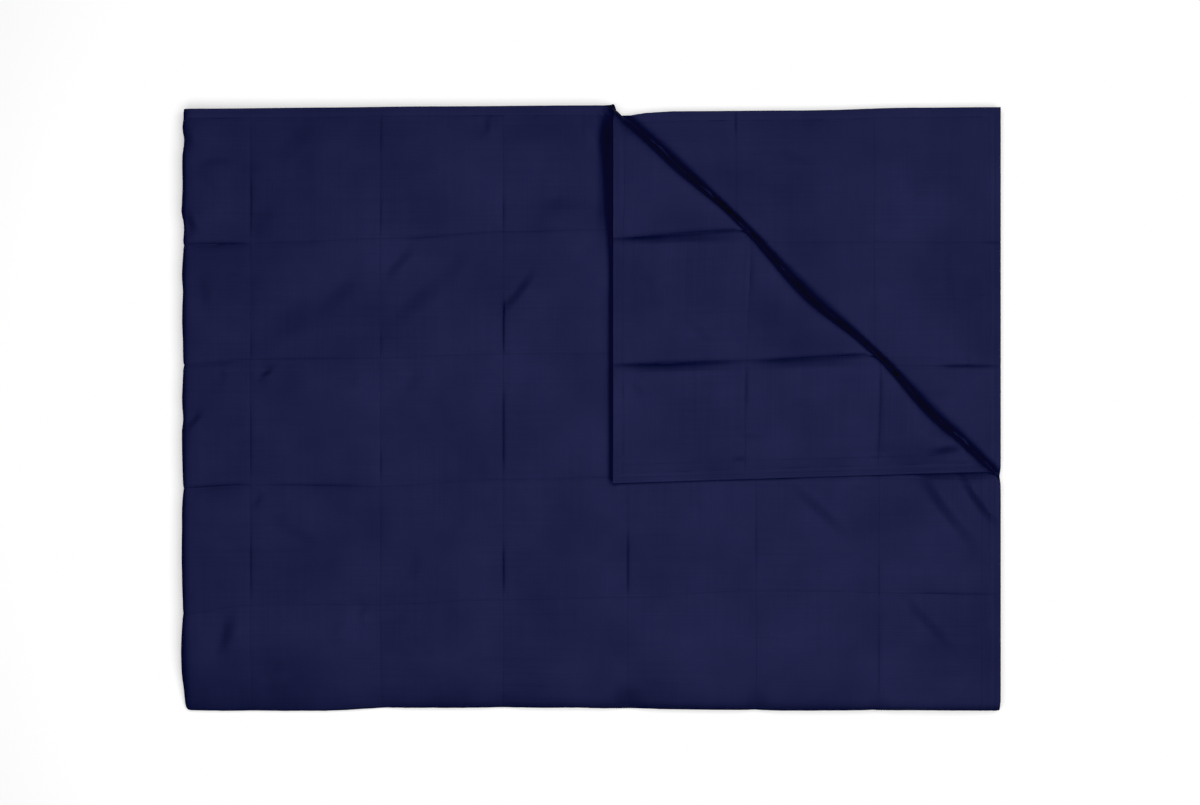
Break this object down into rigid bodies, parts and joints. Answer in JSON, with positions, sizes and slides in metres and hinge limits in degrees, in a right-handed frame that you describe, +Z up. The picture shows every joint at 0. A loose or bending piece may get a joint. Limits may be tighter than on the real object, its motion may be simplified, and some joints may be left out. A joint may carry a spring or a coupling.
{
  "type": "weighted blanket",
  "caption": "Navy quilted weighted blanket, folded in half twice, with a corner of its top layer turned back to show the other face.",
  "frame": {"origin": "on the floor, under the middle of the folded blanket", "axes": "+X towards the free edges on the right, +Y towards the free edges on the far side, +Z up through the layers"},
  "size_m": [1.0178, 0.7519, 0.0535],
  "materials": {
    "navy_cotton": "matte woven cotton with tone-on-tone stitching"
  },
  "bodies": {
    "root": {"blanket": "navy_cotton"}
  },
  "joints": []
}
